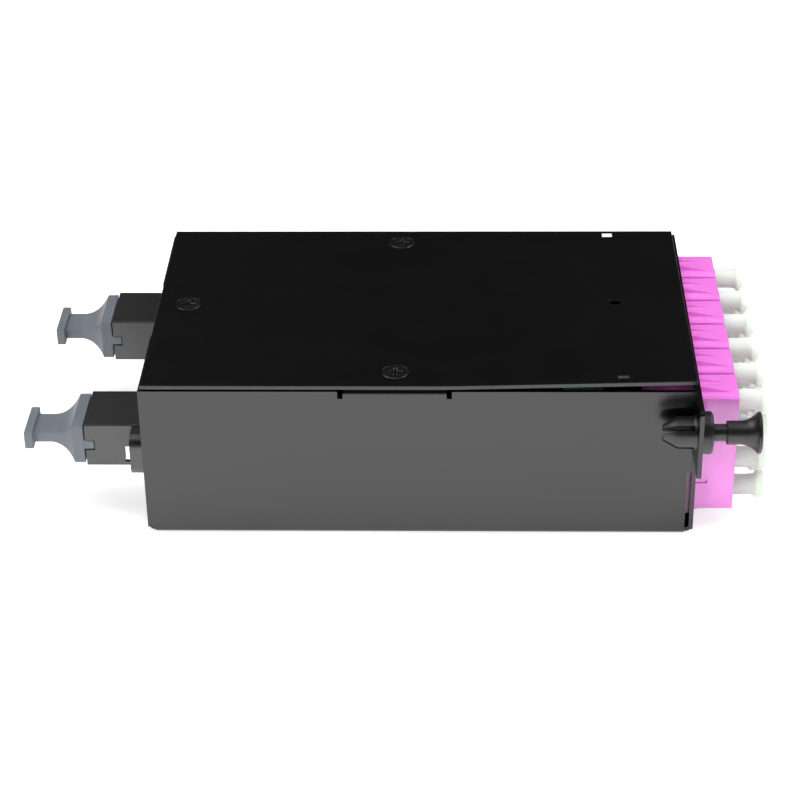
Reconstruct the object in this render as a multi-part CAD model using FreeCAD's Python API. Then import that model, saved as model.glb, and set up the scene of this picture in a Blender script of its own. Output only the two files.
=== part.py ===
import FreeCAD, Part
import math
import os

Vector = FreeCAD.Vector

# Fibre cassette: a folded steel tray with a screwed lid, two MPO adapters in the
# rear wall, six quad LC adapters in the front plate and a push latch in each ear.
# Millimetres.  +X points out of the front plate, +Z up.  The origin is on the
# underside of the base, in the middle of the tray.  "right" is -Y, "left" is +Y.

# ---- folded tray ----
sheet = 0.8
tray_length = 103.0
tray_width = 62.8
lid_underside = 31.6
wall_top_gap = 0.4
bend_inner = 0.4
corner_relief = 1.4
corner_flange = 4.4
seam_gap = 0.05
front_notch_width = 0.8
front_notch_height = 13.9

# ---- ears of the front plate ----
ear_reach = 8.2
ear_height = 14.2
ear_corner = 0.8
left_ear_base = 1.6
latch_reach = 4.0
latch_lift = 0.6

# ---- lid and its screws ----
lid_setback = 0.65
lid_rear_setback = 0.5
lid_lift_start = 4.0
lid_lift_rise = 1.1
lid_lift_bend = 3.0
lid_slot_setback = 13.3
lid_slot_length = 2.1
lid_slot_width = 1.7
lid_slot_inset = 1.8
side_screw_x = -4.3
side_screw_inset = 5.2
rear_screw_inset = 6.2
tab_length = 19.0
tab_reach = 9.0
tab_relief_width = 1.0
tab_relief_depth = 1.5
screw_head_radius = 2.4
screw_head_rim = 0.12
screw_shank_radius = 1.25
screw_length = 5.0
screw_recess_width = 0.55
screw_recess_span = 2.7
screw_recess_depth = 0.75
screw_clearance = 0.05
boss_wall = 0.8
boss_height = 1.2

# ---- quad LC adapters ----
adapter_count = 6
port_count = 4
adapter_margin = 2.6
adapter_gap = 0.1
port_pitch = 6.25
adapter_height = 24.8
adapter_mid = 16.0
adapter_outside = 7.5
adapter_inside = 17.4
adapter_edge = 0.45
adapter_nose_gap = 1.0
adapter_flange_lip = 0.5
adapter_flange_depth = 2.0
window_clearance = 0.05
ramp_width = 1.3
near_ramp = (-2.55, 6.4, 1.2)
far_ramp = (1.2, 5.0, 0.6)
port_width = 4.6
key_width = 3.2
key_depth = 1.5
web_thickness = 1.0
sleeve_radius = 0.82
sleeve_wall = 0.18
sleeve_length = 6.6
sleeve_clearance = 0.03
holder_wall = 0.4
holder_reach = 4.0
mark_length = 2.5
mark_height = 0.8
mark_width = 0.35
mark_depth = 0.4
mark_drop = 18.9

# ---- dust caps of the LC ports ----
cap_outside = 6.0
cap_depth = 7.0
cap_neck_radius = 1.95
cap_rim_radius = 2.65
cap_rim_length = 1.35
cap_flare_length = 0.95
cap_bead_length = 1.3
cap_bead_clearance = 0.05
cap_bore_radius = 1.3
cap_end_wall = 1.5
cap_edge = 0.15
cap_flare_bend = (0.7, 0.35)

# ---- inner LC plugs ----
plug_clearance = 0.05
plug_shoulder = 1.0
plug_body_length = 15.6
plug_ferrule_radius = 0.62
plug_boot_length = 9.0
plug_boot_radius = 1.6
plug_boot_tip = 0.8
lever_thickness = 0.6
lever_length = 11.0
lever_tip_drop = 1.1
lever_root = 0.1
lever_side_gap = 0.1

# ---- MPO adapters ----
mpo_inset = 11.4
mpo_mid = 16.4
mpo_width = 12.7
mpo_height = 8.9
mpo_outside = 11.4
mpo_inside = 13.5
mpo_wall = 1.2
mpo_edge = 0.25
mpo_flange_width = 22.0
mpo_flange_height = 8.3
mpo_flange_depth = 2.4
mpo_flange_corner = 2.3
mpo_flange_hole = 1.1
mpo_flange_hole_pitch = 18.0
mpo_hole_clearance = 0.08
mpo_key_width = 3.0
mpo_key_depth = 0.7
mpo_side_window = (1.7, 3.3)
mpo_bottom_window = (3.4, 11.2)

# ---- dust caps of the MPO adapters ----
mpo_cap_collar = (2.1, 12.0, 8.1)
mpo_cap_gap = 0.3
mpo_cap_neck = (7.3, 1.9)
mpo_cap_flare = 5.0
mpo_cap_bend = (0.42, 0.25)
mpo_cap_bar = (1.7, 9.6, 3.65)
mpo_cap_bar_edge = 0.24
mpo_cap_reach = 11.9
mpo_cap_plug = 5.0
mpo_cap_wall = 1.2
mpo_cap_clearance = 0.1
mpo_cap_tab = (1.6, 1.8)
mpo_cap_tab_gap = 0.12

# ---- inner MPO plugs and their spring clips ----
mpo_plug_nose = (9.5, 6.1)
mpo_ferrule = (2.0, 6.4, 2.5)
mpo_plug_sleeve = (12.0, 7.7)
mpo_plug_sleeve_length = 8.5
mpo_plug_boot = 9.0
mpo_plug_boot_radius = 2.8
mpo_plug_boot_tip = 1.9
clip_sheet = 0.4
clip_length = 6.0
clip_clearance = 0.05
clip_lip = 1.2

# ---- fibre harness ----
trunk_radius = 1.5
trunk_length = 5.0
breakout_size = (8.0, 8.0, 9.0)
breakout_corner = 1.0
breakout_stand_width = 4.0
fibre_radius = 0.45
fibre_grid = 1.6
fibre_lead = 1.2

# ---- adapter bracket ----
bracket_length = 7.0
bracket_clearance = 0.15
bracket_foot = 2.4
bracket_setback = 0.8
finger_length = 1.5
finger_rise = 0.3
pad_seat = 0.4
pad_recess = 0.1
pad_clearance = 0.05

# ---- push latches ----
grommet_flange_radius = 3.95
grommet_flange_length = 2.0
grommet_flange_edge = 0.6
grommet_shank_radius = 2.95
grommet_shank_length = 6.2
grommet_tip_radius = 1.5
grommet_tip_length = 2.6
grommet_tip_bore = 0.75
grommet_bead = 0.25
grommet_bore_radius = 1.65
grommet_slot = 1.1
grommet_slot_turn = 45.0
grommet_solid_length = 0.6
grommet_fit = 0.05
plunger_fit = 0.05
plunger_travel = 2.5
plunger_stop_gap = 0.05
knob_body_radius = 2.2
knob_body_length = 2.4
knob_flare_length = 3.2
knob_rim_radius = 3.85
knob_rim_length = 0.6
knob_dome = 0.3
knob_flat_radius = 1.2
knob_flare_bend = (0.56, 0.265)
knob_dome_bend = 0.7

# ---- sizes that follow ----
bend_outer = bend_inner + sheet
half_width = tray_width / 2
rear_face = -tray_length / 2
front_face = tray_length / 2
wall_top = lid_underside - wall_top_gap
adapter_pitch = (tray_width - 2 * adapter_margin) / adapter_count
mpo_offset = half_width - mpo_inset
port_face = front_face + adapter_outside
adapter_back = front_face - sheet - adapter_inside
web_mid = (port_face + adapter_back) / 2
window_half_width = (adapter_count * adapter_pitch) / 2 + window_clearance
window_half_height = adapter_height / 2 + window_clearance
right_ear_base = lid_underside - ear_height
ear_hole_radius = grommet_shank_radius + grommet_fit
mpo_face = rear_face - mpo_outside
mpo_back = rear_face + sheet + mpo_inside
plug_front = web_mid - holder_reach - sleeve_clearance
plug_back = plug_front - plug_body_length
boot_end = plug_back - plug_boot_length
mpo_plug_back = mpo_back + mpo_plug_sleeve_length + mpo_cap_clearance
mpo_boot_end = mpo_plug_back + mpo_plug_boot
breakout_rear = mpo_boot_end + trunk_length
breakout_front = breakout_rear + breakout_size[0]
RIGHT, LEFT = -1, 1


def block(x0, x1, y0, y1, z0, z1):
    """Box between two corners."""
    return Part.makeBox(x1 - x0, y1 - y0, z1 - z0, Vector(x0, y0, z0))


def centred(x0, x1, y, z, width, height):
    """Box from x0 to x1 whose section is centred on (y, z)."""
    return block(x0, x1, y - width / 2, y + width / 2, z - height / 2, z + height / 2)


def rod(x0, x1, y, z, radius):
    """Cylinder along X."""
    return Part.makeCylinder(radius, x1 - x0, Vector(x0, y, z), Vector(1, 0, 0))


def cone(x0, x1, y, z, r0, r1):
    """Cone along X."""
    return Part.makeCone(r0, r1, x1 - x0, Vector(x0, y, z), Vector(1, 0, 0))


def prism(points, direction):
    """Extrusion of a closed polygon."""
    face = Part.Face(Part.makePolygon(points + points[:1]))
    return face.extrude(direction)


def turned(profile, y, z):
    """Solid turned about the X-parallel axis through (y, z); profile holds (x, r)."""
    points = [Vector(x, y + r, z) for x, r in profile]
    face = Part.Face(Part.makePolygon(points + points[:1]))
    return face.revolve(Vector(0, y, z), Vector(1, 0, 0), 360)


def edges_along(shape, axis, low, high):
    """Edges parallel to an axis (0, 1 or 2) whose middle lies inside low..high."""
    found = []
    for edge in shape.Edges:
        start, end = edge.Vertexes[0].Point, edge.Vertexes[-1].Point
        if abs(abs((end - start)[axis]) - edge.Length) > 1e-6:
            continue
        middle = (start + end) * 0.5
        if all(low[k] <= middle[k] <= high[k] for k in range(3)):
            found.append(edge)
    return found


def folded(points, direction, outer_corners, inner_corners):
    """Sheet folded to a polygon section; corners name the points that are bent."""
    body = prism(points, direction)
    for corners, radius in ((outer_corners, bend_outer), (inner_corners, bend_inner)):
        edges = [edge for edge in body.Edges for index in corners
                 if abs(edge.Length - direction.Length) < 1e-6
                 and any(vertex.Point.isEqual(points[index], 1e-6) for vertex in edge.Vertexes)]
        if edges:
            body = body.makeFillet(radius, edges)
    return body


def base_strip():
    """Rear wall, base and front plate in one fold along X."""
    y = half_width - bend_outer
    outer = [(rear_face, wall_top), (rear_face, 0), (front_face, 0), (front_face, lid_underside)]
    inner = [(front_face - sheet, lid_underside), (front_face - sheet, sheet),
             (rear_face + sheet, sheet), (rear_face + sheet, wall_top)]
    points = [Vector(x, -y, z) for x, z in outer + inner]
    return folded(points, Vector(0, 2 * y, 0), (1, 2), (5, 6))


def wall_strip():
    """Side walls and base in one fold along Y, clear of the end corners."""
    start = rear_face + corner_relief
    end = front_face - sheet - front_notch_width
    outer = [(-half_width, wall_top), (-half_width, 0), (half_width, 0), (half_width, wall_top)]
    inset = half_width - sheet
    inner = [(inset, wall_top), (inset, sheet), (-inset, sheet), (-inset, wall_top)]
    points = [Vector(start, y, z) for y, z in outer + inner]
    return folded(points, Vector(end - start, 0, 0), (1, 2), (5, 6))


def wall_ends(side):
    """Side wall above its corner reliefs, and the rear wall's flange folded inside it."""
    front = front_face - sheet - seam_gap
    y0, y1 = sorted((side * half_width, side * (half_width - sheet)))
    panel = block(rear_face, front, y0, y1, corner_relief, wall_top)
    reach = half_width - sheet - seam_gap
    flange_end = rear_face + corner_flange
    outer = [(flange_end, reach), (rear_face, reach), (rear_face, half_width - corner_flange)]
    inner = [(rear_face + sheet, half_width - corner_flange), (rear_face + sheet, reach - sheet),
             (flange_end, reach - sheet)]
    points = [Vector(x, side * y, corner_relief) for x, y in outer + inner]
    flange = folded(points, Vector(0, 0, wall_top - corner_relief), (1,), (4,))
    return [panel, flange]


def side_tab(side):
    """Lid tab folded inwards from a side wall."""
    low = wall_top - tab_relief_depth
    start = side_screw_x - tab_length / 2
    outer = [(half_width, low), (half_width, lid_underside), (half_width - tab_reach, lid_underside)]
    inner = [(half_width - tab_reach, lid_underside - sheet),
             (half_width - sheet, lid_underside - sheet), (half_width - sheet, low)]
    points = [Vector(start, side * y, z) for y, z in outer + inner]
    return folded(points, Vector(tab_length, 0, 0), (1,), (4,))


def rear_tab():
    """Lid tab folded inwards from the rear wall."""
    low = wall_top - tab_relief_depth
    outer = [(rear_face, low), (rear_face, lid_underside), (rear_face + tab_reach, lid_underside)]
    inner = [(rear_face + tab_reach, lid_underside - sheet),
             (rear_face + sheet, lid_underside - sheet), (rear_face + sheet, low)]
    points = [Vector(x, -tab_length / 2, z) for x, z in outer + inner]
    return folded(points, Vector(0, tab_length, 0), (1,), (4,))


def tab_reliefs():
    """Notches in the wall tops that free the three tabs."""
    low = wall_top - tab_relief_depth
    half = tab_length / 2 + tab_relief_width
    notches = []
    for side in (RIGHT, LEFT):
        y0, y1 = sorted((side * half_width, side * (half_width - sheet)))
        notches.append(block(side_screw_x - half, side_screw_x + half, y0, y1, low, wall_top))
    notches.append(block(rear_face, rear_face + sheet, -half, half, low, wall_top))
    return notches


def screw_places():
    """Lid screw centres by name."""
    y = half_width - side_screw_inset
    return {"right": (side_screw_x, -y), "left": (side_screw_x, y),
            "rear": (rear_face + rear_screw_inset, 0)}


def screw_form(x, y, clearance):
    """Countersunk screw, or the hole it needs, turned about its own axis."""
    top = lid_underside + sheet
    head, shank = screw_head_radius + clearance, screw_shank_radius + clearance
    neck = top - screw_head_rim - (screw_head_radius - screw_shank_radius)
    profile = [(0, top), (head, top), (head, top - screw_head_rim), (shank, neck),
               (shank, top - screw_length), (0, top - screw_length)]
    points = [Vector(x + r, y, z) for r, z in profile]
    face = Part.Face(Part.makePolygon(points + points[:1]))
    return face.revolve(Vector(x, y, 0), Vector(0, 0, 1), 360)


def cover_screw(x, y):
    """Countersunk screw with a cross recess."""
    top = lid_underside + sheet
    half, slot = screw_recess_span / 2, screw_recess_width / 2
    recess = block(x - half, x + half, y - slot, y + slot, top - screw_recess_depth, top)
    recess = recess.fuse(block(x - slot, x + slot, y - half, y + half, top - screw_recess_depth, top))
    return screw_form(x, y, 0).cut(recess)


def cover_screws():
    """The three lid screws."""
    return Part.makeCompound([cover_screw(x, y) for x, y in screw_places().values()])


def ears():
    """Latch ears at the two ends of the front plate, stepped in height."""
    spans = {RIGHT: right_ear_base, LEFT: left_ear_base}
    shapes = []
    for side, low in spans.items():
        y0, y1 = sorted((side * (half_width - bend_outer), side * (half_width + ear_reach)))
        ear = block(front_face - sheet, front_face, y0, y1, low, low + ear_height)
        tip = side * (half_width + ear_reach)
        reach = [Vector(rear_face, tip - seam_gap, 0), Vector(front_face, tip + seam_gap, tray_width)]
        shapes.append(ear.makeFillet(ear_corner, edges_along(ear, 0, *reach)))
    return shapes


def latch_places():
    """Centre of each latch as (y, z) by side."""
    y = half_width + latch_reach
    lift = ear_height / 2 + latch_lift
    return {RIGHT: (-y, right_ear_base + lift), LEFT: (y, left_ear_base + lift)}


def base_tray():
    """The folded tray with its tabs, ears and cut-outs."""
    body = base_strip().fuse([wall_strip()] + wall_ends(RIGHT) + wall_ends(LEFT))
    body = body.cut(tab_reliefs())
    plate = block(front_face - sheet, front_face, -half_width, half_width, bend_outer, lid_underside)
    bosses = []
    for x, y in screw_places().values():
        low = lid_underside - sheet - boss_height
        bosses.append(Part.makeCylinder(screw_shank_radius + boss_wall, boss_height, Vector(x, y, low)))
    body = body.fuse([side_tab(RIGHT), side_tab(LEFT), rear_tab(), plate] + ears() + bosses)
    holes = [screw_form(x, y, screw_clearance) for x, y in screw_places().values()]
    for y, z in latch_places().values():
        holes.append(rod(front_face - sheet, front_face, y, z, ear_hole_radius))
    notch = front_face - sheet - front_notch_width
    for side in (RIGHT, LEFT):
        width = mpo_width + 2 * mpo_hole_clearance
        height = mpo_height + 2 * mpo_hole_clearance
        holes.append(centred(rear_face, rear_face + sheet, side * mpo_offset, mpo_mid, width, height))
        y0, y1 = sorted((side * half_width, side * (half_width - sheet)))
        holes.append(block(notch, front_face - sheet, y0, y1, 0, front_notch_height))
    holes.append(centred(front_face - sheet, front_face, 0, adapter_mid,
                         2 * window_half_width, 2 * window_half_height))
    return body.cut(holes).removeSplitter()


def lid_end(y, lift):
    """Section of the lid at y: flat, then a short bend and a straight run up by lift."""
    rear, front = rear_face + lid_rear_setback, front_face - lid_setback
    slope = lift / (front - lid_lift_start - lid_lift_bend / 2)
    lower = [(rear, 0), (lid_lift_start, 0), (lid_lift_start + lid_lift_bend, slope * lid_lift_bend / 2),
             (front, lift)]
    points = [Vector(x, y, lid_underside + rise) for x, rise in lower]
    points += [Vector(x, y, lid_underside + sheet + rise) for x, rise in lower[::-1]]
    return Part.makePolygon(points + points[:1])


def top_cover():
    """Flat lid whose free corner at the front right stands up, with its holes and slots."""
    lid = Part.makeLoft([lid_end(-half_width, lid_lift_rise), lid_end(half_width, 0)], True, True)
    cuts = [screw_form(x, y, screw_clearance) for x, y in screw_places().values()]
    x = front_face - lid_setback - lid_slot_setback
    for y in finger_places():
        cuts.append(block(x - lid_slot_length / 2, x + lid_slot_length / 2, y - lid_slot_width / 2,
                          y + lid_slot_width / 2, lid_underside, tray_width))
    return lid.cut(cuts)


def finger_places():
    """Y of the three slots in the lid and of the bracket's fingers under them."""
    y = half_width - lid_slot_inset
    return (-y, 0, y)


def adapter_y(index):
    """Centre line of one quad adapter, counted from the right."""
    return (index - (adapter_count - 1) / 2) * adapter_pitch


def port_z(port):
    """Centre line of one port, counted from the bottom."""
    return adapter_mid + (port - (port_count - 1) / 2) * port_pitch


def lc_adapter(index):
    """Quad adapter: body, slimmer nose with ramps, ports from both ends and sleeve holders."""
    y = adapter_y(index)
    width, nose_width = adapter_pitch - adapter_gap, adapter_pitch - adapter_nose_gap
    body = centred(adapter_back, front_face, y, adapter_mid, width, adapter_height)
    nose = centred(front_face, port_face, y, adapter_mid, nose_width, adapter_height)
    everywhere = [Vector(rear_face, -tray_width, 0), Vector(tray_length, tray_width, tray_width)]
    body = body.makeChamfer(adapter_edge, edges_along(body, 0, *everywhere))
    nose = nose.makeChamfer(adapter_edge, edges_along(nose, 0, *everywhere))
    stop = front_face - sheet
    lip = centred(stop - adapter_flange_depth, stop, y, adapter_mid, width,
                  adapter_height + 2 * adapter_flange_lip)
    parts = [nose, lip]
    for up in (-1, 1):
        level = adapter_mid + up * adapter_height / 2
        for side, length, height in (near_ramp, far_ramp):
            points = [Vector(front_face, y + side, level + up * height),
                      Vector(front_face + length, y + side, level),
                      Vector(front_face + length, y + side, level - up * height),
                      Vector(front_face, y + side, level - up * height)]
            parts.append(prism(points, Vector(0, ramp_width, 0)))
    body = body.fuse(parts)
    holders, cavities, bores = [], [], []
    half_web = web_thickness / 2
    face = y - nose_width / 2
    low = adapter_mid + adapter_height / 2 - mark_drop
    end = front_face + mark_length
    cavities.append(block(front_face, end, face, face + mark_depth, low, low + mark_width))
    cavities.append(block(end - mark_width, end, face, face + mark_depth, low, low + mark_height))
    for port in range(port_count):
        z = port_z(port)
        for x0, x1 in ((adapter_back, web_mid - half_web), (web_mid + half_web, port_face)):
            cavities.append(centred(x0, x1, y, z, port_width, port_width))
            key_y = y + (port_width + key_depth) / 2
            cavities.append(centred(x0, x1, key_y, z, key_depth, key_width))
        bore = sleeve_radius + sleeve_clearance
        holders.append(rod(web_mid - holder_reach, web_mid + holder_reach, y, z, bore + holder_wall))
        seat = sleeve_length / 2 + sleeve_clearance
        bores.append(rod(web_mid - seat, web_mid + seat, y, z, bore))
        mouth = plug_ferrule_radius + sleeve_clearance
        bores.append(rod(web_mid - holder_reach, web_mid + holder_reach, y, z, mouth))
    return body.cut(cavities).fuse(holders).cut(bores)


def alignment_sleeves():
    """Split sleeves in the holders, one to each port."""
    sleeves = []
    for index in range(adapter_count):
        for port in range(port_count):
            y, z = adapter_y(index), port_z(port)
            start, end = web_mid - sleeve_length / 2, web_mid + sleeve_length / 2
            sleeve = rod(start, end, y, z, sleeve_radius)
            slit = centred(start, end, y + sleeve_radius, z, sleeve_radius * 2, sleeve_wall)
            sleeves.append(sleeve.cut([rod(start, end, y, z, sleeve_radius - sleeve_wall), slit]))
    return Part.makeCompound(sleeves)


def lc_cap(index, port):
    """Round dust cap: bead, neck, concave flare and rim, bored from the inner end."""
    y, z = adapter_y(index), port_z(port)
    inner, outer = port_face - cap_depth, port_face + cap_outside
    bead = port_width / 2 - cap_bead_clearance
    rim_start = outer - cap_rim_length
    flare_start = rim_start - cap_flare_length
    along, across = cap_flare_bend
    bend = Vector(flare_start + cap_flare_length * along,
                  y + cap_neck_radius + (cap_rim_radius - cap_neck_radius) * across, z)

    def at(x, r):
        return Vector(x, y + r, z)

    front = [at(outer - cap_edge, cap_rim_radius), at(outer, cap_rim_radius - cap_edge)]
    neck = [at(inner + cap_bead_length + 2 * cap_edge, cap_neck_radius), at(flare_start, cap_neck_radius)]
    rear = [at(inner, bead - 2 * cap_edge), at(inner + 2 * cap_edge, bead), at(inner + cap_bead_length, bead)]
    floor = outer - cap_end_wall
    points = [at(inner, cap_bore_radius)] + rear + neck
    edges = [Part.makeLine(a, b) for a, b in zip(points, points[1:])]
    edges.append(Part.Arc(at(flare_start, cap_neck_radius), bend, at(rim_start, cap_rim_radius)).toShape())
    points = [at(rim_start, cap_rim_radius)] + front
    points += [at(outer, 0), at(floor, 0), at(floor, cap_bore_radius), at(inner, cap_bore_radius)]
    edges += [Part.makeLine(a, b) for a, b in zip(points, points[1:])]
    face = Part.Face(Part.Wire(edges))
    return face.revolve(Vector(0, y, z), Vector(1, 0, 0), 360)


def lc_plug(y, z):
    """Inner LC plug: ferrule, square body, sprung lever and boot."""
    width = port_width - 2 * plug_clearance
    body = centred(plug_back, plug_front, y, z, width, width)
    body = body.fuse(rod(plug_front, web_mid - sleeve_clearance, y, z, plug_ferrule_radius))
    body = body.fuse(cone(boot_end, plug_back, y, z, plug_boot_tip, plug_boot_radius))
    root = plug_front - plug_shoulder
    tip = root - lever_length
    top = y + width / 2
    points = [Vector(root, top, z), Vector(tip, top + lever_tip_drop, z),
              Vector(tip, top + lever_tip_drop - lever_thickness, z),
              Vector(root - lever_thickness, top - lever_root, z), Vector(root, top - lever_root, z)]
    half = key_width / 2 - lever_side_gap
    lever = prism([point - Vector(0, 0, half) for point in points], Vector(0, 0, 2 * half))
    return body.fuse(lever)


def lc_plugs(index):
    """The four plugs behind one adapter."""
    return Part.makeCompound([lc_plug(adapter_y(index), port_z(port)) for port in range(port_count)])


def mpo_adapter(side):
    """MPO adapter: flanged sleeve with key channel, windows and latch hooks."""
    y = side * mpo_offset
    body = centred(mpo_face, mpo_back, y, mpo_mid, mpo_width, mpo_height)
    everywhere = [Vector(mpo_face, -tray_width, 0), Vector(mpo_back, tray_width, tray_width)]
    body = body.makeFillet(mpo_edge, edges_along(body, 0, *everywhere))
    flange = centred(rear_face - mpo_flange_depth, rear_face, y, mpo_mid, mpo_flange_width,
                     mpo_flange_height)
    flange = flange.makeFillet(mpo_flange_corner, edges_along(flange, 0, *everywhere))
    for hand in (RIGHT, LEFT):
        hole_y = y + hand * mpo_flange_hole_pitch / 2
        flange = flange.cut(rod(rear_face - mpo_flange_depth, rear_face, hole_y, mpo_mid, mpo_flange_hole))
    width, height = mpo_width - 2 * mpo_wall, mpo_height - 2 * mpo_wall
    cuts = [centred(mpo_face, mpo_back, y, mpo_mid, width, height)]
    key_z = mpo_mid + (height + mpo_key_depth) / 2
    cuts.append(centred(mpo_face, mpo_back, y, key_z, mpo_key_width, mpo_key_depth))
    tab_length_x, tab_height = mpo_cap_tab
    cuts.append(centred(mpo_face, mpo_face + tab_length_x + mpo_cap_tab_gap, y, mpo_mid, mpo_width,
                        tab_height + 2 * mpo_cap_tab_gap))
    window_x, window_z = mpo_side_window
    near_flange = rear_face - mpo_flange_depth
    cuts.append(centred(near_flange - window_x, near_flange, y, mpo_mid - window_z / 2 - mpo_edge,
                        mpo_width, window_z))
    bottom_x, bottom_y = mpo_bottom_window
    cuts.append(block(near_flange - bottom_x, near_flange, y - bottom_y / 2, y + bottom_y / 2,
                      mpo_mid - mpo_height / 2, mpo_mid - height / 2))
    return body.fuse(flange).cut(cuts)


def mpo_cap_shell(y):
    """Collar, trumpet flare and neck: one profile along Y crossed with one along Z."""
    collar_length, collar_width, collar_height = mpo_cap_collar
    neck_width, neck_height = mpo_cap_neck
    front = mpo_face - mpo_cap_gap
    flare = front - collar_length
    neck = flare - mpo_cap_flare
    end = mpo_face - mpo_cap_reach

    along, across = mpo_cap_bend

    def outline(wide, narrow, at):
        bend_x = flare - mpo_cap_flare * along
        bend = narrow + (wide - narrow) * across
        edges = [Part.makeLine(at(front, wide), at(flare, wide)),
                 Part.Arc(at(flare, wide), at(bend_x, bend), at(neck, narrow)).toShape(),
                 Part.makeLine(at(neck, narrow), at(end, narrow)),
                 Part.makeLine(at(end, narrow), at(end, -narrow)),
                 Part.makeLine(at(end, -narrow), at(neck, -narrow)),
                 Part.Arc(at(neck, -narrow), at(bend_x, -bend), at(flare, -wide)).toShape(),
                 Part.makeLine(at(flare, -wide), at(front, -wide)),
                 Part.makeLine(at(front, -wide), at(front, wide))]
        return Part.Face(Part.Wire(edges))

    side_view = outline(collar_height / 2, neck_height / 2,
                        lambda x, r: Vector(x, y - collar_width / 2, mpo_mid + r))
    plan_view = outline(collar_width / 2, neck_width / 2,
                        lambda x, r: Vector(x, y + r, mpo_mid - collar_height / 2))
    side_form = side_view.extrude(Vector(0, collar_width, 0))
    return side_form.common(plan_view.extrude(Vector(0, 0, collar_height)))


def mpo_cap(side):
    """Dust cap of an MPO adapter: plug, side tabs, flared grip and pull bar."""
    y = side * mpo_offset
    bar_length, bar_width, bar_height = mpo_cap_bar
    end = mpo_face - mpo_cap_reach
    bar = centred(end, end + bar_length, y, mpo_mid, bar_width, bar_height)
    bar = bar.makeFillet(mpo_cap_bar_edge, bar.Edges)
    front = mpo_face - mpo_cap_gap
    width = mpo_width - 2 * mpo_wall - 2 * mpo_cap_clearance
    height = mpo_height - 2 * mpo_wall - 2 * mpo_cap_clearance
    plug = centred(front, mpo_face + mpo_cap_plug, y, mpo_mid, width, height)
    plug = plug.cut(centred(mpo_face + mpo_cap_wall, mpo_face + mpo_cap_plug, y, mpo_mid,
                            width - 2 * mpo_cap_wall, height - 2 * mpo_cap_wall))
    tab_reach, tab_height = mpo_cap_tab
    tabs = []
    for hand in (RIGHT, LEFT):
        inside, outside = width / 2 - mpo_cap_wall, mpo_width / 2 - mpo_cap_clearance
        y0, y1 = sorted((y + hand * inside, y + hand * outside))
        tabs.append(block(front, mpo_face + tab_reach, y0, y1, mpo_mid - tab_height / 2,
                          mpo_mid + tab_height / 2))
    return mpo_cap_shell(y).fuse([bar, plug] + tabs).removeSplitter()


def mpo_plug(side):
    """Inner MPO plug: nose with ferrule, pull sleeve and boot."""
    y = side * mpo_offset
    middle = (mpo_face + mpo_back) / 2
    nose_width, nose_height = mpo_plug_nose
    sleeve_width, sleeve_height = mpo_plug_sleeve
    ferrule_length, ferrule_width, ferrule_height = mpo_ferrule
    nose_start = middle + ferrule_length
    nose = centred(nose_start, mpo_back + mpo_cap_clearance, y, mpo_mid, nose_width, nose_height)
    ferrule = centred(middle, nose_start, y, mpo_mid, ferrule_width, ferrule_height)
    sleeve = centred(mpo_back + mpo_cap_clearance, mpo_plug_back, y, mpo_mid, sleeve_width, sleeve_height)
    boot = cone(mpo_plug_back, mpo_boot_end, y, mpo_mid, mpo_plug_boot_radius, mpo_plug_boot_tip)
    return nose.fuse([ferrule, sleeve, boot])


def mpo_clip(side):
    """Spring clip that straddles the adapter behind the rear wall."""
    y = side * mpo_offset
    x0 = rear_face + sheet
    inner_y = mpo_width / 2 + clip_clearance
    inner_z = mpo_mid + mpo_height / 2 + clip_clearance
    low = mpo_mid - mpo_height / 2
    outer = block(x0 + clip_clearance, x0 + clip_length, y - inner_y - clip_sheet, y + inner_y + clip_sheet,
                  low, inner_z + clip_sheet)
    inner = block(x0, x0 + clip_length, y - inner_y, y + inner_y, 0, inner_z)
    lip = block(x0 + clip_clearance, x0 + clip_clearance + clip_sheet, y - inner_y, y + inner_y,
                inner_z, inner_z + clip_sheet + clip_lip)
    return outer.cut(inner).fuse(lip).removeSplitter()


def trunk_cord(side):
    """Short round cord from the MPO boot to the breakout."""
    return rod(mpo_boot_end, breakout_rear, side * mpo_offset, mpo_mid, trunk_radius)


def breakout(side):
    """Breakout block that stands on the base and parts the trunk into single fibres."""
    y = side * mpo_offset
    width, height = breakout_size[1:]
    body = centred(breakout_rear, breakout_front, y, mpo_mid, width, height)
    box = [Vector(rear_face, -tray_width, 0), Vector(tray_length, tray_width, tray_width)]
    body = body.makeFillet(breakout_corner, edges_along(body, 0, *box))
    foot = block(breakout_rear, breakout_front, y - breakout_stand_width / 2,
                 y + breakout_stand_width / 2, sheet, mpo_mid)
    return body.fuse(foot)


def fibre(start, end):
    """One buffered fibre: two equal arcs joined into an S between two points."""
    drop = Vector(0, end.y - start.y, end.z - start.z)
    run = end.x - start.x - 2 * fibre_lead
    a, b = start + Vector(fibre_lead, 0, 0), end - Vector(fibre_lead, 0, 0)
    radius = (run ** 2 + drop.Length ** 2) / (4 * drop.Length)
    turn = math.asin(run / 2 / radius)
    side = Vector(drop).normalize()
    middle = (a + b) * 0.5

    def on_arc(origin, ahead, across, angle):
        return origin + ahead * (radius * math.sin(angle)) + across * (radius * (1 - math.cos(angle)))

    ahead = Vector(1, 0, 0)
    first = Part.Arc(a, on_arc(a, ahead, side, turn / 2), middle)
    second = Part.Arc(middle, on_arc(b, ahead * -1, side * -1, turn / 2), b)
    path = Part.Wire([Part.makeLine(start, a), first.toShape(), second.toShape(), Part.makeLine(b, end)])
    section = Part.Wire([Part.makeCircle(fibre_radius, start, ahead)])
    return path.makePipeShell([section], True, True)


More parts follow.
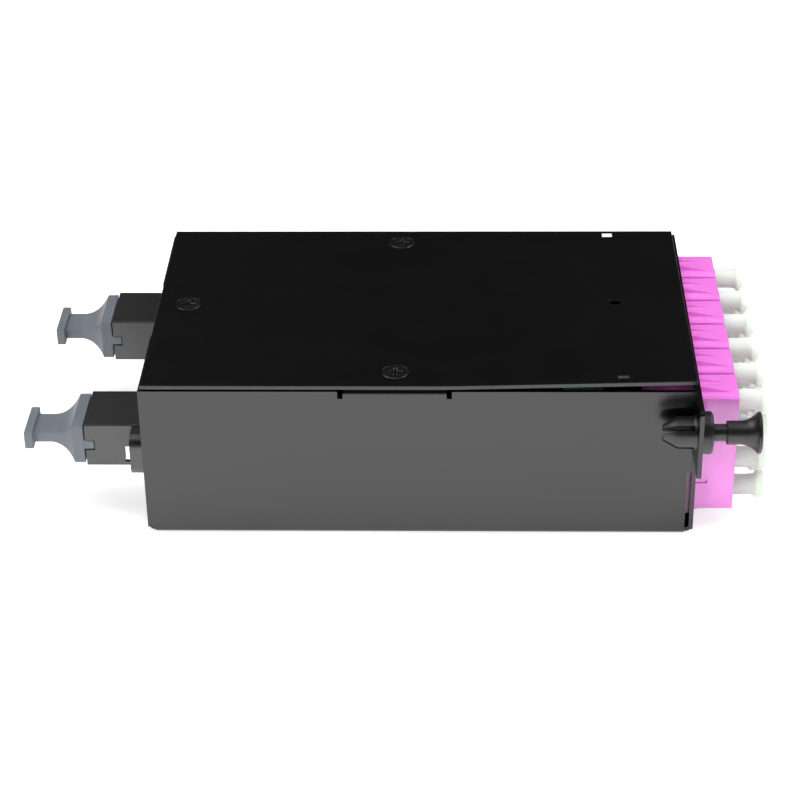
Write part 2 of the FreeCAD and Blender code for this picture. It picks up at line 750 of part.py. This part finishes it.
def fibres(side):
    """The twelve fibres that one breakout fans out to three adapters."""
    half = adapter_count // 2
    first = 0 if side == RIGHT else half
    tubes = []
    for column in range(half):
        for port in range(port_count):
            y = side * mpo_offset + (column - (half - 1) / 2) * fibre_grid
            z = mpo_mid + (port - (port_count - 1) / 2) * fibre_grid
            end = Vector(boot_end, adapter_y(first + column), port_z(port))
            tubes.append(fibre(Vector(breakout_front, y, z), end))
    return Part.makeCompound(tubes)


def adapter_bracket():
    """Strap over the LC adapters, with feet on the base and three fingers to the lid."""
    x0 = adapter_back + bracket_setback
    outside = half_width - sheet - bracket_clearance
    inside = outside - sheet
    under = adapter_mid + adapter_height / 2 + bracket_clearance
    top = under + sheet
    outer = [(-outside + bracket_foot, sheet), (-outside, sheet), (-outside, top),
             (outside, top), (outside, sheet), (outside - bracket_foot, sheet)]
    inner = [(outside - bracket_foot, 2 * sheet), (inside, 2 * sheet), (inside, under),
             (-inside, under), (-inside, 2 * sheet), (-outside + bracket_foot, 2 * sheet)]
    points = [Vector(x0, y, z) for y, z in outer + inner]
    strap = folded(points, Vector(bracket_length, 0, 0), (1, 2, 3, 4), (7, 8, 9, 10))
    x = front_face - lid_setback - lid_slot_setback
    fingers = []
    for y in finger_places():
        fingers.append(block(x - finger_length / 2, x + finger_length / 2, y - sheet / 2, y + sheet / 2,
                             under, finger_top(y)))
    return strap.fuse(fingers).removeSplitter()


def finger_top(y):
    """Height of a bracket finger: the left one is lower and carries the pad."""
    return lid_underside - pad_seat if y > 0 else lid_underside + finger_rise


def slot_pad():
    """Pad on the left finger that fills the lid slot above it."""
    x = front_face - lid_setback - lid_slot_setback
    y = finger_places()[-1]
    half_x, half_y = lid_slot_length / 2 - pad_clearance, lid_slot_width / 2 - pad_clearance
    top = lid_underside + sheet - pad_recess
    return block(x - half_x, x + half_x, y - half_y, y + half_y, finger_top(y), top)


def latch_grommet(side):
    """Grommet: rounded flange on the ear and a split, beaded, tapered shank through it."""
    y, z = latch_places()[side]
    flange_end = front_face + grommet_flange_length
    flange = rod(front_face, flange_end, y, z, grommet_flange_radius)
    rim = [edge for edge in flange.Edges if abs(edge.CenterOfMass.x - flange_end) < 1e-6]
    flange = flange.makeFillet(grommet_flange_edge, rim)
    behind = front_face - sheet
    tip = behind - grommet_shank_length
    taper = tip + grommet_tip_length
    bead = grommet_shank_radius + grommet_bead
    seat = behind - grommet_fit
    profile = [(front_face, 0), (front_face, grommet_shank_radius), (seat, grommet_shank_radius),
               (seat, bead), (seat - grommet_bead, bead), (seat - 3 * grommet_bead, grommet_shank_radius),
               (taper, grommet_shank_radius), (tip, grommet_tip_radius), (tip, 0)]
    body = flange.fuse(turned(profile, y, z))
    split_end = behind - grommet_solid_length
    reach = 2 * bead
    slots = [centred(tip, split_end, y, z, reach, grommet_slot),
             centred(tip, split_end, y, z, grommet_slot, reach)]
    for slot in slots:
        slot.rotate(Vector(tip, y, z), Vector(1, 0, 0), -grommet_slot_turn)
    bore = rod(taper, flange_end, y, z, grommet_bore_radius)
    throat = cone(tip, taper, y, z, grommet_tip_bore, grommet_bore_radius)
    return body.cut([bore, throat] + slots)


def latch_plunger(side):
    """Plunger: shaft through the grommet and a waisted knob, drawn out at rest."""
    y, z = latch_places()[side]
    knob = front_face + grommet_flange_length + plunger_travel + plunger_stop_gap
    shoulder = knob + knob_body_length
    rim = shoulder + knob_flare_length
    end = rim + knob_rim_length
    tip = front_face - sheet - grommet_shank_length + plunger_travel + grommet_tip_length
    shaft = grommet_bore_radius - plunger_fit

    def at(x, r):
        return Vector(x, y + r, z)

    along, across = knob_flare_bend
    grow = knob_rim_radius - knob_body_radius
    bend = at(shoulder + knob_flare_length * along, knob_body_radius + grow * across)
    dome = at(end + knob_dome * knob_dome_bend, (knob_rim_radius + knob_flat_radius) / 2)
    points = [at(tip, 0), at(tip, shaft), at(knob, shaft), at(knob, knob_body_radius),
              at(shoulder, knob_body_radius)]
    edges = [Part.makeLine(a, b) for a, b in zip(points, points[1:])]
    edges.append(Part.Arc(at(shoulder, knob_body_radius), bend, at(rim, knob_rim_radius)).toShape())
    edges.append(Part.makeLine(at(rim, knob_rim_radius), at(end, knob_rim_radius)))
    edges.append(Part.Arc(at(end, knob_rim_radius), dome, at(end + knob_dome, knob_flat_radius)).toShape())
    edges.append(Part.makeLine(at(end + knob_dome, knob_flat_radius), at(end + knob_dome, 0)))
    edges.append(Part.makeLine(at(end + knob_dome, 0), at(tip, 0)))
    face = Part.Face(Part.Wire(edges))
    return face.revolve(Vector(0, y, z), Vector(1, 0, 0), 360)


def build():
    """Every sub-part by node name."""
    parts = {"base_tray": base_tray(), "top_cover": top_cover(), "adapter_bracket": adapter_bracket(),
             "slot_pad": slot_pad(), "alignment_sleeves": alignment_sleeves(), "cover_screws": cover_screws()}
    for index in range(adapter_count):
        parts[f"lc_adapter_{index + 1}"] = lc_adapter(index)
        parts[f"lc_plugs_{index + 1}"] = lc_plugs(index)
        for port in range(port_count):
            parts[f"lc_cap_{index + 1}_{port + 1}"] = lc_cap(index, port)
    for name, side in (("right", RIGHT), ("left", LEFT)):
        parts[f"mpo_adapter_{name}"] = mpo_adapter(side)
        parts[f"mpo_cap_{name}"] = mpo_cap(side)
        parts[f"mpo_clip_{name}"] = mpo_clip(side)
        parts[f"mpo_plug_{name}"] = mpo_plug(side)
        parts[f"trunk_cord_{name}"] = trunk_cord(side)
        parts[f"breakout_{name}"] = breakout(side)
        parts[f"fibres_{name}"] = fibres(side)
        parts[f"latch_grommet_{name}"] = latch_grommet(side)
        parts[f"latch_plunger_{name}"] = latch_plunger(side)
    return parts


os.makedirs("parts", exist_ok=True)
for node, shape in build().items():
    shape.exportStep(f"parts/{node}.step")
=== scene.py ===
import math

import bmesh
import bpy
from mathutils import Matrix, Vector


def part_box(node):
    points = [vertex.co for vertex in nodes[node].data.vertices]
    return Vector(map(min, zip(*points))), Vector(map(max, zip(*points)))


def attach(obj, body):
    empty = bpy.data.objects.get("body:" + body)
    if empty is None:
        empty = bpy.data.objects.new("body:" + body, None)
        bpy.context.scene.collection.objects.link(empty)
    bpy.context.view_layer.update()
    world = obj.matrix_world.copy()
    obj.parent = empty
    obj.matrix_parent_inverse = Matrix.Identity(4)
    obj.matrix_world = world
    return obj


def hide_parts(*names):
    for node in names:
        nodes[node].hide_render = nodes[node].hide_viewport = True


mm = 0.001
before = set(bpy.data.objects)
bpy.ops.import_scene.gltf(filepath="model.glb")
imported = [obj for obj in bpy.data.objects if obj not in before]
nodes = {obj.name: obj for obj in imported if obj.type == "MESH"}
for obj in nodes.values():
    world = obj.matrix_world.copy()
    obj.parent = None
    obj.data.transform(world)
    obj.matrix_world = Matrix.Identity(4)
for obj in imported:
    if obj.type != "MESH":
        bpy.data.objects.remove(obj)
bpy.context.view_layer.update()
sides = {"right": "Right", "left": "Left"}
print("frame loaded,", len(nodes), "nodes")


def linearColour(hexColour):
    # sRGB hex to the linear colour a shader takes
    channels = [int(hexColour[i:i + 2], 16) / 255 for i in (0, 2, 4)]
    return tuple(c / 12.92 if c <= 0.04045 else ((c + 0.055) / 1.055) ** 2.4 for c in channels) + (1.0,)


def addNode(tree, kind, settings=None, links=None):
    # one node: settings go to its sockets or properties, links come from other nodes' outputs
    node = tree.nodes.new(kind)
    for name, value in (settings or {}).items():
        if isinstance(name, int) or name in node.inputs:
            node.inputs[name].default_value = value
        else:
            setattr(node, name, value)
    for name, source in (links or {}).items():
        tree.links.new(source, node.inputs[name])
    return node


def newMaterial(name, shaderSettings):
    # principled material with its plain sockets set; returns the material, its tree and its shader
    material = bpy.data.materials.new(name)
    material.use_nodes = True
    shader = material.node_tree.nodes["Principled BSDF"]
    for socket, value in shaderSettings.items():
        shader.inputs[socket].default_value = value
    return material, material.node_tree, shader


def surfaceNoise(tree, featureMm, detail=2.0, stretch=(1, 1, 1)):
    # noise whose bumps are about featureMm across, in the piece's own metres
    place = addNode(tree, "ShaderNodeTexCoord").outputs["Object"]
    if stretch != (1, 1, 1):
        place = addNode(tree, "ShaderNodeMapping", {"Scale": stretch}, {"Vector": place}).outputs[0]
    return addNode(tree, "ShaderNodeTexNoise", {"Scale": 1 / (featureMm * mm), "Detail": detail},
                   {"Vector": place}).outputs["Fac"]


def spread(tree, source, low, high):
    # stretches a noise, which mostly lies between 0.3 and 0.7, to a range
    return addNode(tree, "ShaderNodeMapRange", {"From Min": 0.3, "From Max": 0.7, "To Min": low, "To Max": high},
                   {"Value": source}).outputs["Result"]


def tint(tree, factor, dark, light):
    # colour that drifts between two hex values
    mix = addNode(tree, "ShaderNodeMix", {"data_type": "RGBA"})
    colours = [socket for socket in mix.inputs if socket.type == "RGBA"]
    colours[0].default_value = linearColour(dark)
    colours[1].default_value = linearColour(light)
    tree.links.new(factor, mix.inputs[0])
    return [socket for socket in mix.outputs if socket.type == "RGBA"][0]


def addBump(tree, shader, height, depthMm):
    # turns a height pattern into relief depthMm deep
    bump = addNode(tree, "ShaderNodeBump", {"Strength": 1.0, "Distance": depthMm * mm}, {"Height": height})
    tree.links.new(bump.outputs["Normal"], shader.inputs["Normal"])


powderCoat = {
    "dark": "020202", "light": "050405",
    "peel": 0.7,            # mm, orange peel left by the cured powder
    "peelDepth": 0.0022,    # mm
    "cloud": 9.0,           # mm, slow drift of tone and gloss
    "smooth": 0.255, "dull": 0.27,
}


def makePowderCoat():
    # satin powder coat on steel: black from above, grey where it mirrors something pale
    material, tree, shader = newMaterial("blackPowderCoat", {
        "IOR": 1.5, "Specular IOR Level": 0.88, "Coat Weight": 0.15, "Coat Roughness": 0.2})
    peel = surfaceNoise(tree, powderCoat["peel"], 1.0)
    cloud = surfaceNoise(tree, powderCoat["cloud"], 3.0)
    tree.links.new(tint(tree, spread(tree, cloud, 0, 1), powderCoat["dark"], powderCoat["light"]),
                   shader.inputs["Base Color"])
    tree.links.new(spread(tree, cloud, powderCoat["smooth"], powderCoat["dull"]), shader.inputs["Roughness"])
    addBump(tree, shader, peel, powderCoat["peelDepth"])
    return material


violetHousing = {"dark": "EE7BE0", "light": "F484E7", "drift": 5.0, "grain": 0.3, "grainDepth": 0.004}     # mm


def makeVioletHousing():
    # moulded PBT in the violet of OM4 parts: even, slightly waxy, faint spark-eroded grain
    material, tree, shader = newMaterial("violetPbt", {
        "IOR": 1.57, "Roughness": 0.3, "Specular IOR Level": 1.0, "Coat Weight": 1.0, "Coat Roughness": 0.2,
        "Subsurface Weight": 0.15, "Subsurface Radius": (1.0, 0.5, 0.9), "Subsurface Scale": 0.4 * mm})
    drift = surfaceNoise(tree, violetHousing["drift"])
    tree.links.new(tint(tree, spread(tree, drift, 0, 1), violetHousing["dark"], violetHousing["light"]),
                   shader.inputs["Base Color"])
    addBump(tree, shader, surfaceNoise(tree, violetHousing["grain"]), violetHousing["grainDepth"])
    return material


capPlastic = {"dark": "DFF0DB", "light": "E9F6E5", "drift": 3.0, "grain": 0.5, "grainDepth": 0.004}     # mm


def makeCapPlastic():
    # natural polyethylene: milky, light passes into the rim and the thin neck
    material, tree, shader = newMaterial("milkyPolyethylene", {
        "IOR": 1.5, "Roughness": 0.42, "Subsurface Weight": 1.0,
        "Subsurface Radius": (1.0, 1.0, 0.95), "Subsurface Scale": 2.5 * mm})
    drift = surfaceNoise(tree, capPlastic["drift"])
    tree.links.new(tint(tree, spread(tree, drift, 0, 1), capPlastic["dark"], capPlastic["light"]),
                   shader.inputs["Base Color"])
    addBump(tree, shader, surfaceNoise(tree, capPlastic["grain"]), capPlastic["grainDepth"])
    return material


driftSize = {"plastic": 6.0, "metal": 2.0}     # mm, slow change of tone over a moulding or a plated sheet
glossDrift = 0.04      # how far a plastic's roughness strays to either side

plasticFinishes = {
    # name: dark, light, roughness, specular level, coat, grain mm, grain depth mm
    # moulded PBT with a matt spark-eroded skin: black on top, grey toward the pale floor
    "blackPbt": ("060606", "0A0A0B", 0.36, 1.0, 0.8, 0.35, 0.014),
    # soft blue-grey rubber of the pull caps: even, chalky sheen
    "greyElastomer": ("5A6068", "646A72", 0.5, 1.0, 0.2, 0.45, 0.008),
    # glass-filled nylon of the latches: dark with a worn satin skin
    "blackNylon": ("0E0E0F", "161617", 0.36, 0.9, 0.0, 0.4, 0.006),
    # aqua tight-buffered fibre and plug boots: smooth PVC skin
    "aquaPvc": ("38B8B4", "46C8C3", 0.4, 0.5, 0.0, 0.8, 0.004),
    # fired zirconia of the alignment sleeves: white and glassy
    "zirconia": ("F1EFE8", "F8F6F0", 0.15, 0.5, 0.0, 0.2, 0.001),
    # white nylon of the spacer pad under the lid: plain and matt
    "whiteNylon": ("EDEDEA", "F6F6F4", 0.5, 0.5, 0.0, 0.3, 0.003),
}


def makePlastic(name, dark, light, roughness, level, coat, grain, grainDepth):
    material, tree, shader = newMaterial(name, {
        "IOR": 1.5, "Specular IOR Level": level, "Coat Weight": coat, "Coat Roughness": 0.45})
    drift = surfaceNoise(tree, driftSize["plastic"])
    tree.links.new(tint(tree, spread(tree, drift, 0, 1), dark, light), shader.inputs["Base Color"])
    tree.links.new(spread(tree, drift, roughness - glossDrift, roughness + glossDrift), shader.inputs["Roughness"])
    addBump(tree, shader, surfaceNoise(tree, grain), grainDepth)
    return material


metalFinishes = {
    # name: dark, light, roughness, grain mm, grain depth mm, stretch of the grain
    # zinc plate on sheet steel, given a dull dark grey that stands in for the shade in the lid's slots and the gap
    # under it: painted shade; faint rolling lines
    "zincPlate": ("3C3E41", "4C4F52", 0.4, 0.5, 0.003, (0.1, 1, 1)),
    # worn black oxide on steel screws: mid grey that shines at the edges
    "blackOxide": ("6A6A6E", "8A8A90", 0.26, 0.4, 0.004, (1, 1, 1)),
    # bright spring steel of the clips: stamped strip
    "springSteel": ("B9BCBE", "D2D4D6", 0.25, 0.4, 0.002, (1, 0.1, 1)),
}


def makeMetal(name, dark, light, roughness, grain, grainDepth, stretch):
    material, tree, shader = newMaterial(name, {"Metallic": 1.0, "Roughness": roughness})
    drift = surfaceNoise(tree, driftSize["metal"], 3.0)
    tree.links.new(tint(tree, spread(tree, drift, 0, 1), dark, light), shader.inputs["Base Color"])
    addBump(tree, shader, surfaceNoise(tree, grain, 2.0, stretch), grainDepth)
    return material


finishes = {"powderCoat": makePowderCoat(), "violet": makeVioletHousing(), "cap": makeCapPlastic()}
for name, values in plasticFinishes.items():
    finishes[name] = makePlastic(name, *values)
for name, values in metalFinishes.items():
    finishes[name] = makeMetal(name, *values)
print("finishes made,", len(finishes))


def showPiece(mesh, name, material, body):
    # puts a mesh in the scene as a piece that rides on a body
    mesh.materials.clear()
    mesh.materials.append(finishes[material])
    piece = bpy.data.objects.new(name, mesh)
    bpy.context.scene.collection.objects.link(piece)
    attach(piece, body)
    return piece


def meshFrom(bm, name):
    mesh = bpy.data.meshes.new(name)
    bm.to_mesh(mesh)
    bm.free()
    return mesh


edgeWork = {"segments": 2, "sharpAngle": 32, "turnedSharpAngle": 40}     # degrees


def roundEdges(piece, width):
    # eased edges that catch the light, with the flats kept flat
    bevel = piece.modifiers.new("easedEdges", "BEVEL")
    bevel.width = width * mm
    bevel.segments = edgeWork["segments"]
    bevel.limit_method = "ANGLE"
    bevel.angle_limit = math.radians(edgeWork["sharpAngle"])
    bevel.use_clamp_overlap = True
    weighted = piece.modifiers.new("flatFaces", "WEIGHTED_NORMAL")
    weighted.keep_sharp = True


def shadeRound(bm, sharpAngle):
    # smooth shading with sharp edges kept
    for face in bm.faces:
        face.smooth = True
    for edge in bm.edges:
        edge.smooth = len(edge.link_faces) == 2 and edge.calc_face_angle() < math.radians(sharpAngle)


def dressedNode(node, name, material, body, easing):
    # merged copy of a solid with eased edges, shown in the solid's place
    bm = bmesh.new()
    bm.from_mesh(nodes[node].data)
    bmesh.ops.remove_doubles(bm, verts=bm.verts, dist=0.0005 * mm)
    bmesh.ops.dissolve_limit(bm, angle_limit=math.radians(0.4), verts=bm.verts, edges=bm.edges)
    shadeRound(bm, edgeWork["sharpAngle"])
    piece = showPiece(meshFrom(bm, name), name, material, body)
    roundEdges(piece, easing)
    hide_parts(node)
    return piece


def turnedMesh(name, profile, centre, steps):
    # profile of (x, radius) in mm spun about the line along X through centre
    bm = bmesh.new()
    verts = [bm.verts.new((x * mm, centre[1], centre[2] + radius * mm)) for x, radius in profile]
    edges = [bm.edges.new(pair) for pair in zip(verts, verts[1:])]
    bmesh.ops.spin(bm, geom=verts + edges, cent=(0, centre[1], centre[2]), axis=(1, 0, 0), dvec=(0, 0, 0),
                   angle=2 * math.pi, steps=steps, use_merge=True, use_duplicate=False)
    bmesh.ops.remove_doubles(bm, verts=bm.verts, dist=0.002 * mm)
    bmesh.ops.recalc_face_normals(bm, faces=bm.faces)
    shadeRound(bm, edgeWork["turnedSharpAngle"])
    return meshFrom(bm, name)


def middle(node):
    low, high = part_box(node)
    return (Vector(low) + Vector(high)) / 2


coverEasing = {"tray": 0.09, "lid": 0.11, "screws": 0.12}     # mm, edges of the coated sheet and the screw heads
dressedNode("base_tray", "trayShell", "powderCoat", "cassette", coverEasing["tray"])
dressedNode("top_cover", "lidPanel", "powderCoat", "cassette", coverEasing["lid"])
dressedNode("cover_screws", "lidScrews", "blackOxide", "cassette", coverEasing["screws"])
print("tray and lid")


lcHousing = {"count": 6, "ports": 4, "easing": 0.14}
for index in range(1, lcHousing["count"] + 1):
    dressedNode(f"lc_adapter_{index}", f"lcHousing{index}", "violet", "cassette", lcHousing["easing"])
mpoHousing = {"easing": 0.1}
for side, label in sides.items():
    dressedNode(f"mpo_adapter_{side}", f"mpoHousing{label}", "blackPbt", "cassette", mpoHousing["easing"])
print("adapters")


roundCap = {
    # mm, radii and lengths from the inner end outwards
    "bead": 2.2, "beadLength": 1.3,
    "neck": 1.95, "flareLength": 0.95, "flareLead": 0.2, "straightBeforeFlare": 1.2,
    "rim": 2.65, "rimLength": 1.35, "edge": 0.18, "edgeShare": 0.3,
    "bore": 1.3, "endWall": 1.5,
    "gate": 0.45, "gateEdge": 0.1, "gateDepth": 0.15,      # sprue dimple in the end
    "flareSteps": 6, "steps": 40,
}


def capProfile(start, end):
    # bore, bead, neck, trumpet flare, rim and end face, from the inner end outwards
    c = roundCap
    rimStart = end - c["rimLength"]
    flareStart = rimStart - c["flareLength"]
    grow = c["rim"] - c["neck"]
    profile = [(end - c["endWall"], 0), (end - c["endWall"], c["bore"]), (start, c["bore"]),
               (start, c["bead"] - c["edge"]), (start + c["edge"], c["bead"]),
               (start + c["beadLength"], c["bead"]), (start + c["beadLength"] + c["edge"], c["neck"]),
               (flareStart - c["straightBeforeFlare"], c["neck"])]
    for step in range(1, c["flareSteps"] + 1):
        turn = step / c["flareSteps"] * math.pi / 2
        reach = (c["flareLength"] + c["flareLead"]) * math.sin(turn)
        profile.append((flareStart - c["flareLead"] + reach, c["neck"] + grow * (1 - math.cos(turn))))
    bulge = c["edge"] * c["edgeShare"]
    profile += [(end - c["edge"], c["rim"]), (end - bulge, c["rim"] - bulge), (end, c["rim"] - c["edge"]),
                (end, c["gate"] + c["gateEdge"]), (end - c["gateDepth"], c["gate"]),
                (end - c["gateDepth"], 0)]
    return profile


for index in range(1, lcHousing["count"] + 1):
    for port in range(1, lcHousing["ports"] + 1):
        node = f"lc_cap_{index}_{port}"
        low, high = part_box(node)
        mesh = turnedMesh(node, capProfile(low[0] / mm, high[0] / mm), middle(node), roundCap["steps"])
        capPiece = showPiece(mesh, f"dustCap{index}x{port}", "cap", node)
        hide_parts(node)
print("round dust caps")


pullCap = {"easing": 0.22}
for side, label in sides.items():
    dressedNode(f"mpo_cap_{side}", f"pullCap{label}", "greyElastomer", f"mpo_cap_{side}", pullCap["easing"])
print("pull caps")


latchKnob = {
    # mm, and degrees for the turn of the flare's arc
    "shaft": 1.6, "tipEdge": 0.2,
    "body": 2.2, "bodyEdge": 0.1, "bodyLength": 2.4, "straightBeforeFlare": 1.0,
    "flareLength": 3.2, "flareTurn": 55, "rim": 3.85, "rimLength": 0.6,
    "dome": 0.3, "edge": 0.15, "edgeMiddle": 0.07,
    "flareSteps": 9, "domeSteps": 5, "steps": 64,
    "collarEasing": 0.08,
}


def knobProfile(start, end):
    # shaft, waisted knob and domed rim, from the tip outwards
    k = latchKnob
    rimEnd = end - k["dome"]
    rimStart = rimEnd - k["rimLength"]
    knobStart = rimStart - k["flareLength"] - k["bodyLength"]
    profile = [(start, 0), (start, k["shaft"] - k["tipEdge"]), (start + k["tipEdge"], k["shaft"]),
               (knobStart, k["shaft"]), (knobStart, k["body"] - k["bodyEdge"]),
               (knobStart + k["bodyEdge"], k["body"])]
    bodyEnd = rimStart - k["flareLength"]
    profile.append((bodyEnd - k["straightBeforeFlare"], k["body"]))
    whole = math.radians(k["flareTurn"])
    for step in range(k["flareSteps"] + 1):
        turn = step / k["flareSteps"] * whole
        reach = math.sin(turn) / math.sin(whole)
        rise = (1 - math.cos(turn)) / (1 - math.cos(whole))
        profile.append((bodyEnd + k["flareLength"] * reach, k["body"] + (k["rim"] - k["body"]) * rise))
    profile += [(rimEnd - k["edge"], k["rim"]), (rimEnd - k["edgeMiddle"], k["rim"] - k["edgeMiddle"]),
                (rimEnd, k["rim"] - k["edge"])]
    for step in range(1, k["domeSteps"] + 1):
        part = step / k["domeSteps"]
        profile.append((rimEnd + k["dome"] * math.sin(part * math.pi / 2), (k["rim"] - k["edge"]) * (1 - part)))
    return profile


for side, label in sides.items():
    node = f"latch_plunger_{side}"
    low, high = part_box(node)
    mesh = turnedMesh(node, knobProfile(low[0] / mm, high[0] / mm), middle(node), latchKnob["steps"])
    knobPiece = showPiece(mesh, f"latchKnob{label}", "blackNylon", f"latch_{side}")
    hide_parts(node)
    dressedNode(f"latch_grommet_{side}", f"latchCollar{label}", "blackNylon", "cassette",
                latchKnob["collarEasing"])
print("latches")


# the strap under the lid (adapter_bracket) gets the dull dark zincPlate: painted shade for the slots over it
innerFinishes = {
    "adapter_bracket": "zincPlate", "slot_pad": "whiteNylon", "alignment_sleeves": "zirconia",
    "mpo_clip": "springSteel", "mpo_plug": "blackPbt", "trunk_cord": "aquaPvc",
    "breakout": "blackPbt", "fibres": "aquaPvc", "lc_plugs": "aquaPvc",
}
for name, node in nodes.items():
    for start, finish in innerFinishes.items():
        if name.startswith(start):
            for slot in node.material_slots:
                slot.material = finishes[finish]
print("inner pieces")


studio = {
    "floorSize": 1.1, "floorDrop": 0.02,      # m, and mm below the object
    "floorColour": "E9E9E9",
    "floorLift": 0.6, "mirrorLift": 0.33,     # for the camera and for mirrors only, no light on the object
    "fade": (0.35, 0.8),          # m from the middle, where the floor turns to the white of the backdrop
    "ringHeight": (0.02, 0.16),   # sine of elevation where the pale horizon fades out
    "ring": 0.5, "ceiling": 0.02,
}


def makeFloor():
    bm = bmesh.new()
    bmesh.ops.create_circle(bm, cap_ends=True, segments=64, radius=studio["floorSize"])
    bmesh.ops.translate(bm, verts=bm.verts, vec=(0, 0, -studio["floorDrop"] * mm))
    floor = bpy.data.objects.new("floor", meshFrom(bm, "floor"))
    bpy.context.scene.collection.objects.link(floor)
    # matt painted board: pale, keeps the soft shadow
    material, tree, shader = newMaterial("paleBoard", {
        "Base Color": linearColour(studio["floorColour"]), "Roughness": 0.9, "Specular IOR Level": 0.0})
    rays = addNode(tree, "ShaderNodeLightPath").outputs
    mirrored = addNode(tree, "ShaderNodeMath", {"operation": "MAXIMUM"},
                       {0: rays["Is Glossy Ray"], 1: rays["Is Transmission Ray"]}).outputs[0]
    mirrored = addNode(tree, "ShaderNodeMath", {"operation": "MULTIPLY", 1: studio["mirrorLift"]},
                       {0: mirrored}).outputs[0]
    place = addNode(tree, "ShaderNodeTexCoord").outputs["Object"]
    distance = addNode(tree, "ShaderNodeVectorMath", {"operation": "LENGTH"}, {0: place}).outputs["Value"]
    near, far = studio["fade"]
    lift = addNode(tree, "ShaderNodeMapRange", {"From Min": near, "From Max": far, "To Min": studio["floorLift"],
                   "To Max": 1.0}, {"Value": distance}).outputs["Result"]
    strength = addNode(tree, "ShaderNodeMath", {"operation": "MULTIPLY_ADD"},
                       {0: rays["Is Camera Ray"], 1: lift, 2: mirrored})
    shader.inputs["Emission Color"].default_value = (1, 1, 1, 1)
    tree.links.new(strength.outputs[0], shader.inputs["Emission Strength"])
    floor.data.materials.append(material)


def makeWorld():
    # white to the camera; mirrors and light see a pale horizon under a dark ceiling
    world = bpy.data.worlds.new("studio")
    bpy.context.scene.world = world
    world.use_nodes = True
    tree = world.node_tree
    tree.nodes.clear()
    direction = addNode(tree, "ShaderNodeTexCoord").outputs["Generated"]
    height = addNode(tree, "ShaderNodeSeparateXYZ", None, {0: direction}).outputs["Z"]
    low, high = studio["ringHeight"]
    glow = addNode(tree, "ShaderNodeMapRange", {"interpolation_type": "SMOOTHSTEP", "From Min": low,
                   "From Max": high, "To Min": studio["ring"], "To Max": studio["ceiling"]}, {"Value": height})
    room = addNode(tree, "ShaderNodeBackground", None, {"Strength": glow.outputs["Result"]})
    white = addNode(tree, "ShaderNodeBackground", {"Color": (1, 1, 1, 1), "Strength": 1.0})
    room.inputs["Color"].default_value = (1, 1, 1, 1)
    rays = addNode(tree, "ShaderNodeLightPath").outputs
    seen = addNode(tree, "ShaderNodeMath", {"operation": "ADD", "use_clamp": True},
                   {0: rays["Is Camera Ray"], 1: rays["Is Transmission Ray"]})
    mix = addNode(tree, "ShaderNodeMixShader", None,
                  {0: seen.outputs[0], 1: room.outputs[0], 2: white.outputs[0]})
    addNode(tree, "ShaderNodeOutputWorld", None, {"Surface": mix.outputs[0]})


lamps = {
    # place and target in mm, size in mm, watts, and whether glossy surfaces mirror the lamp:
    # the fills don't, so that the black sheet stays black from every side
    "overheadFill": ((-60, -60, 760), (0, 0, 0), 420, 4.0, False),
    "overheadSoftbox": ((-60, -60, 740), (0, 0, 0), 420, 0.6, True),
    "frontRightFill": ((640, -640, 400), (20, 0, 10), 460, 4.0, False),
    "frontLeftFill": ((-640, -640, 400), (-20, 0, 10), 460, 4.0, False),
    "rightSoftbox": ((520, 60, 660), (30, 0, 15), 380, 1.1, True),
    "leftSoftbox": ((-520, 60, 660), (-30, 0, 15), 380, 1.1, True),
    "rearRightSoftbox": ((400, 430, 660), (20, 0, 10), 380, 0.9, True),
    "rearLeftSoftbox": ((-400, 430, 660), (-20, 0, 10), 380, 0.9, True),
}


def addLamps():
    for name, (place, target, size, watts, mirrored) in lamps.items():
        lamp = bpy.data.lights.new(name, "AREA")
        lamp.energy = watts
        lamp.shape = "SQUARE"
        lamp.size = size * mm
        holder = bpy.data.objects.new(name, lamp)
        bpy.context.scene.collection.objects.link(holder)
        place, target = Vector(place) * mm, Vector(target) * mm
        holder.location = place
        holder.rotation_euler = (target - place).to_track_quat("-Z", "Y").to_euler()
        holder.visible_glossy = mirrored


# mm and degrees
view = {"place": (8.58, -387.45, 242.70), "pitch": 30.90, "yaw": -1.912, "roll": -0.893, "lens": 102.18}


def addCamera():
    camera = bpy.data.cameras.new("camera")
    camera.lens = view["lens"]
    camera.sensor_width = 36
    camera.clip_start = 0.01
    holder = bpy.data.objects.new("camera", camera)
    bpy.context.scene.collection.objects.link(holder)
    turn = (Matrix.Rotation(math.radians(-view["yaw"]), 4, "Z")
            @ Matrix.Rotation(math.radians(90 - view["pitch"]), 4, "X")
            @ Matrix.Rotation(math.radians(view["roll"]), 4, "Z"))
    holder.matrix_world = Matrix.Translation(Vector(view["place"]) * mm) @ turn
    bpy.context.scene.camera = holder


makeFloor()
makeWorld()
addLamps()
addCamera()
bpy.context.scene.view_settings.view_transform = "Standard"
print("stage, lamps and camera")
